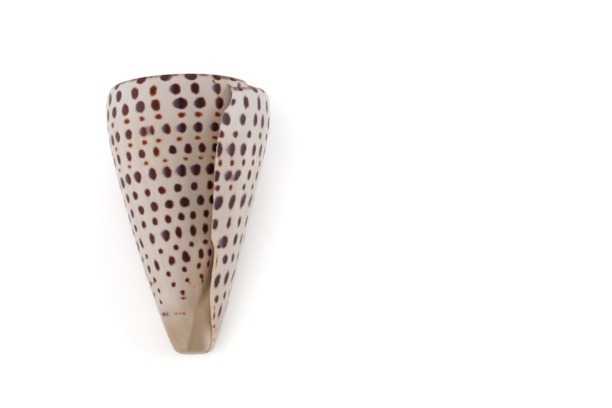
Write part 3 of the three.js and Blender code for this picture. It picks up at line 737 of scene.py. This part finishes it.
class Nodes:
    def __init__(self, name):
        self.mat = bpy.data.materials.new(name)
        self.mat.use_nodes = True
        self.tree = self.mat.node_tree
        self.bsdf = self.tree.nodes["Principled BSDF"]

    def new(self, kind, **props):
        node = self.tree.nodes.new(kind)
        for key, value in props.items():
            setattr(node, key, value)
        return node

    def link(self, a, b):
        self.tree.links.new(a, b)

    def put(self, socket, value):
        if hasattr(value, "is_linked") or hasattr(value, "links"):
            self.link(value, socket)
        else:
            socket.default_value = value

    def attr(self, name):
        return self.new("ShaderNodeAttribute", attribute_name=name, attribute_type="GEOMETRY").outputs["Fac"]

    def math(self, op, a, b=None, clamp=False):
        node = self.new("ShaderNodeMath", operation=op, use_clamp=clamp)
        self.put(node.inputs[0], a)
        if b is not None:
            self.put(node.inputs[1], b)
        return node.outputs[0]

    def ramp(self, x, low, high, a=0.0, b=1.0, smooth=True):
        node = self.new("ShaderNodeMapRange", interpolation_type="SMOOTHSTEP" if smooth else "LINEAR", clamp=True)
        self.put(node.inputs["Value"], x)
        node.inputs["From Min"].default_value = low
        node.inputs["From Max"].default_value = high
        node.inputs["To Min"].default_value = a
        node.inputs["To Max"].default_value = b
        return node.outputs["Result"]

    def mix(self, fac, a, b, blend="MIX"):
        node = self.new("ShaderNodeMix", data_type="RGBA", blend_type=blend)
        node.clamp_factor = True
        self.put(node.inputs["Factor"], fac)
        self.put(node.inputs[6], a)
        self.put(node.inputs[7], b)
        return node.outputs[2]

    def combine(self, x, y, z):
        node = self.new("ShaderNodeCombineXYZ")
        for socket, value in zip(node.inputs, (x, y, z)):
            self.put(socket, value)
        return node.outputs[0]

    def noise(self, vector, scale, detail=2.0, rough=0.5, distortion=0.0):
        node = self.new("ShaderNodeTexNoise")
        self.link(vector, node.inputs["Vector"])
        node.inputs["Scale"].default_value = scale
        node.inputs["Detail"].default_value = detail
        node.inputs["Roughness"].default_value = rough
        node.inputs["Distortion"].default_value = distortion
        return node.outputs["Fac"]


g = Nodes("spotted_shell")
where = g.new("ShaderNodeTexCoord").outputs["Object"]
grow, dwn = g.attr("grow"), g.attr("down")
spot, warm, cool = g.attr("spot"), g.attr("warm"), g.attr("cool")
halo, halo_strength = g.attr("halo"), g.attr("halo_strength")
stain_and_shade_a, glaze_a, edge_a, tops = g.attr("stain_and_shade"), g.attr("glaze"), g.attr("edge"), g.attr("tops")

# growth lines run down the side, spiral lines run round it
lines = g.combine(grow, g.math("MULTIPLY", dwn, 0.045), 0.0)
bands = g.noise(lines, 0.16, 3.0, 0.55)               # broad soft bands
fine = g.noise(lines, 1.15, 4.0, 0.62)                # fine growth lines
spiral = g.noise(g.combine(g.math("MULTIPLY", grow, 0.02), dwn, 3.0), 1.3, 2.0, 0.5)
cloud = g.noise(where, 95.0, 3.0, 0.55)
cloud2 = g.noise(where, 34.0, 2.0, 0.5)
grain = g.noise(where, 620.0, 2.0, 0.6)
speck = g.noise(where, 1500.0, 2.0, 0.6)

# ground
white = g.mix(g.ramp(cloud2, 0.32, 0.68), lin(191, 184, 180), lin(184, 175, 167))
white = g.mix(g.ramp(bands, 0.42, 0.66, 0.0, 0.35), white, lin(172, 161, 150))
white = g.mix(g.ramp(fine, 0.52, 0.74, 0.0, 0.16), white, lin(164, 148, 134))
white = g.mix(g.ramp(dwn, 20.0, 3.0, 0.0, 0.7), white, lin(190, 185, 184))
tan = g.mix(g.ramp(cloud, 0.36, 0.66), lin(158, 132, 106), lin(148, 120, 92))
tan = g.mix(g.ramp(bands, 0.40, 0.64, 0.0, 0.45), tan, lin(164, 140, 116))
tan = g.mix(g.ramp(dwn, 72.0, 46.0), tan, g.mix(g.ramp(cloud, 0.36, 0.66), lin(176, 149, 125), lin(168, 139, 114)))
tan = g.mix(g.ramp(dwn, 24.0, 6.0), tan, lin(174, 153, 138))
# tan stain, and beside the lip painted shade as well
stain_and_shade_n = g.math("ADD", stain_and_shade_a, g.ramp(cloud, 0.2, 0.8, -0.10, 0.10, False))
ground = g.mix(g.ramp(stain_and_shade_n, 0.02, 1.0, 0.0, 1.0, False), white, tan)

# spots: warped edge, rusty rim, dark middle
warp = g.ramp(grain, 0.25, 0.75, -0.16, 0.16, False)
warp2 = g.ramp(cloud, 0.25, 0.75, -0.10, 0.10, False)
edge_d = g.math("ADD", g.math("ADD", spot, warp), warp2)
fade, across = g.attr("fade"), g.attr("across")
plain = g.math("SUBTRACT", 1.0, warm)
left_side = g.math("MULTIPLY", g.ramp(across, 0.1, -1.0), plain)
right_side = g.math("MULTIPLY", g.ramp(across, 0.0, 1.0), plain)
dark = g.mix(cool, lin(34, 9, 13), lin(57, 39, 45))
dark = g.mix(g.ramp(fine, 0.46, 0.66, 0.0, 0.30), dark, lin(60, 28, 28))
dark = g.mix(g.attr("ruddy"), dark, lin(76, 35, 39))
dark = g.mix(g.math("MULTIPLY", left_side, 0.34), dark, g.mix(cool, lin(72, 48, 56), lin(90, 74, 84)))
dark = g.mix(g.math("MULTIPLY", right_side, 0.55), dark, g.mix(cool, lin(80, 28, 20), lin(70, 34, 36)))
rust = g.mix(cool, lin(116, 52, 32), lin(108, 68, 64))
rust = g.mix(g.math("MULTIPLY", left_side, 0.60), rust, lin(116, 90, 100))
orange = g.mix(cool, lin(100, 42, 12), lin(102, 44, 28))
orange = g.mix(g.ramp(spot, -0.35, -1.1), orange, g.mix(cool, lin(56, 20, 14), lin(70, 34, 30)))
core = g.mix(warm, dark, orange)
core = g.mix(g.math("MULTIPLY", fade, 0.78), core, g.mix(cool, lin(104, 86, 100), lin(122, 106, 122)))
rim_c = g.mix(warm, rust, g.mix(cool, lin(166, 96, 38), lin(154, 84, 56)))
rim_c = g.mix(g.math("MULTIPLY", fade, 0.7), rim_c, lin(126, 112, 124))
spot_colour = g.mix(g.ramp(edge_d, -0.42, 0.06), core, rim_c)
crest_line = g.math("MULTIPLY", g.ramp(g.attr("crest"), 1.45, 0.55), g.ramp(g.noise(g.combine(grow, 0.0, 0.0), 0.16, 2.0, 0.6), 0.36, 0.58, 0.15, 0.9))
crest_line = g.math("MAXIMUM", crest_line, g.math("MULTIPLY", g.math("MULTIPLY", g.attr("bold"), 0.9), g.ramp(g.attr("crest"), 1.9, 0.9)))
ground = g.mix(crest_line, ground, lin(108, 62, 42))
halo_mask = g.math("MULTIPLY", g.ramp(g.math("ADD", halo, g.math("MULTIPLY", warp, 1.6)), 0.55, -0.75), halo_strength)
ground = g.mix(g.math("MULTIPLY", halo_mask, 0.9), ground, lin(112, 99, 120))
ground = g.mix(g.ramp(edge_d, 0.60, 0.10, 0.0, 0.22), ground, lin(190, 140, 114))
soft = g.new("ShaderNodeMapRange", interpolation_type="SMOOTHSTEP", clamp=True)
g.link(edge_d, soft.inputs["Value"])
g.link(g.math("ADD", g.math("MULTIPLY", fade, 0.30), 0.29), soft.inputs["From Min"])
g.link(g.math("SUBTRACT", -0.26, g.math("MULTIPLY", fade, 0.65)), soft.inputs["From Max"])
colour = g.mix(soft.outputs["Result"], ground, spot_colour)
# painted shade tone: neutral grey lower down, bluish near the top
lip_shade_tone = g.mix(g.ramp(dwn, 26.0, 10.0), (0.71, 0.715, 0.72, 1.0), (0.76, 0.85, 0.95, 1.0))
colour = g.mix(g.attr("lip_shade"), colour, lip_shade_tone, "MULTIPLY")
# darker just behind the lip edge
colour = g.mix(g.attr("darker_behind_lip"), colour, (0.885, 0.815, 0.785, 1.0), "MULTIPLY")
# painted light lifting the shade in the notch and beside the lip
colour = g.mix(g.attr("painted_light"), colour, (1.5, 1.42, 1.42, 1.0), "MULTIPLY")

# lip edge, glaze inside, sutures
tinge = g.math("MULTIPLY", g.attr("tinge"), g.ramp(g.noise(where, 210.0, 2.0, 0.5), 0.35, 0.65, 0.35, 1.0))
edge_c = g.mix(g.ramp(dwn, 12.0, 20.0), lin(198, 190, 183), lin(192, 170, 144))
edge_c = g.mix(tinge, edge_c, lin(186, 132, 80))
colour = g.mix(g.math("MULTIPLY", g.math("MULTIPLY", edge_a, 0.7), g.ramp(edge_d, -0.1, 0.3)), colour, edge_c)
inside = g.mix(g.ramp(cloud, 0.3, 0.7), lin(164, 138, 110), lin(154, 127, 98))
inside = g.mix(g.ramp(dwn, 72.0, 84.0), inside, lin(147, 122, 99))
# painted highlight near the tip of the canal
inside = g.mix(g.attr("canal_highlight"), inside, lin(180, 164, 152))
inside = g.mix(g.ramp(g.attr("canal_highlight"), 1.0, 1.6), inside, lin(214, 200, 188))
colour = g.mix(glaze_a, colour, inside)
colour = g.mix(g.math("MULTIPLY", tops, g.ramp(cloud, 0.42, 0.68, 0.0, 0.5)), colour, lin(190, 160, 134))
g.link(colour, g.bsdf.inputs["Base Color"])

# gloss
rough = g.ramp(cloud, 0.2, 0.8, 0.30, 0.42, False)
rough = g.math("ADD", rough, g.ramp(fine, 0.4, 0.7, 0.0, 0.07, False))
rough = g.math("ADD", rough, g.math("MULTIPLY", edge_a, 0.12))
rough = g.math("ADD", rough, g.math("MULTIPLY", tops, 0.10))
rough = g.math("SUBTRACT", rough, g.math("MULTIPLY", glaze_a, 0.06), clamp=True)
g.link(rough, g.bsdf.inputs["Roughness"])
g.bsdf.inputs["Specular IOR Level"].default_value = 0.13
g.bsdf.inputs["Metallic"].default_value = 0.0

# relief
relief = g.math("MULTIPLY", fine, 0.9)
relief = g.math("ADD", relief, g.math("MULTIPLY", g.math("MULTIPLY", spiral, g.ramp(dwn, 40.0, 88.0, 0.15, 1.1)), 0.8))
relief = g.math("ADD", relief, g.math("MULTIPLY", grain, 0.22))
relief = g.math("ADD", relief, g.math("MULTIPLY", speck, 0.10))
relief = g.math("MULTIPLY", relief, g.ramp(glaze_a, 0.0, 1.0, 1.0, 0.25))
bump = g.new("ShaderNodeBump")
bump.inputs["Strength"].default_value = 0.32
bump.inputs["Distance"].default_value = 0.00022
g.link(relief, bump.inputs["Height"])
g.link(bump.outputs["Normal"], g.bsdf.inputs["Normal"])

mesh.materials.append(g.mat)
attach(shell, "root")
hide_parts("shell")

# ---------------------------------------------------------------------------
# Floor, light, camera
# ---------------------------------------------------------------------------
floor_mesh = bpy.data.meshes.new("floor")
h = 6.0
floor_mesh.from_pydata([(-h, -h, 0), (h, -h, 0), (h, h, 0), (-h, h, 0)], [], [(0, 1, 2, 3)])
floor = bpy.data.objects.new("floor", floor_mesh)
bpy.context.scene.collection.objects.link(floor)
f = bpy.data.materials.new("floor")
f.use_nodes = True
fb = f.node_tree.nodes["Principled BSDF"]
fb.inputs["Base Color"].default_value = (0.97, 0.97, 0.97, 1)
fb.inputs["Roughness"].default_value = 0.9
fb.inputs["Specular IOR Level"].default_value = 0.1
floor_mesh.materials.append(f)

world_ = bpy.data.worlds.new("studio")
world_.use_nodes = True
world_.node_tree.nodes["Background"].inputs["Color"].default_value = (1.0, 1.0, 1.0, 1)
world_.node_tree.nodes["Background"].inputs["Strength"].default_value = 0.39
bpy.context.scene.world = world_


def softbox(name, at, size, power, towards=(0, 0, 0.02), mirrored=True):
    data = bpy.data.lights.new(name, "AREA")
    data.shape = "RECTANGLE"
    data.size, data.size_y = size
    data.energy = power
    lamp = bpy.data.objects.new(name, data)
    lamp.location = at
    lamp.rotation_euler = (Vector(towards) - Vector(at)).to_track_quat("-Z", "Y").to_euler()
    lamp.visible_glossy = mirrored
    bpy.context.scene.collection.objects.link(lamp)


softbox("key_box", (-0.30, -0.60, 1.00), (1.0, 1.0), 9.0, mirrored=False)
softbox("left_box", (-0.85, 0.10, 0.35), (0.8, 0.6), 3.5)
softbox("right_box", (0.85, 0.05, 0.40), (0.8, 0.6), 4.9)
softbox("back_box", (0.10, 0.85, 0.60), (0.8, 0.6), 3.0)

bpy.context.scene.view_settings.view_transform = "Standard"
bpy.context.scene.view_settings.look = "None"

WIDTH, HEIGHT = 612, 408
cam_data = bpy.data.cameras.new("camera")
cam_data.sensor_width = 36.0
cam_data.lens = 179.7
cam_data.clip_start, cam_data.clip_end = 0.01, 100.0
cam = bpy.data.objects.new("camera", cam_data)
bpy.context.scene.collection.objects.link(cam)
bpy.context.scene.camera = cam
tilt = math.radians(REST_TILT + 8.0)
target = Vector((float(SHIFT[0]), float(-47 * c + SHIFT[1]), float(-47 * s_ + SHIFT[2]))) * 0.001
back_axis = Vector((0.0, -math.sin(tilt), math.cos(tilt)))
up_axis = Vector((0.0, math.cos(tilt), math.sin(tilt)))
right_axis = Vector((1.0, 0.0, 0.0))
roll = math.radians(1.0)
r_axis = right_axis * math.cos(roll) - up_axis * math.sin(roll)
u_axis = up_axis * math.cos(roll) + right_axis * math.sin(roll)
eye = target + back_axis * 1.1
# aim so that the target falls left of the middle of the picture
focal_px = cam_data.lens / 36.0 * WIDTH
ray = Vector(((186.9 - WIDTH / 2) / focal_px, -(230.1 - HEIGHT / 2) / focal_px, -1.0)).normalized()
base = Matrix((r_axis, u_axis, back_axis)).transposed()
swing = ray.rotation_difference(Vector((0, 0, -1))).to_matrix()
cam.matrix_world = Matrix.Translation(eye) @ (base @ swing).to_4x4()
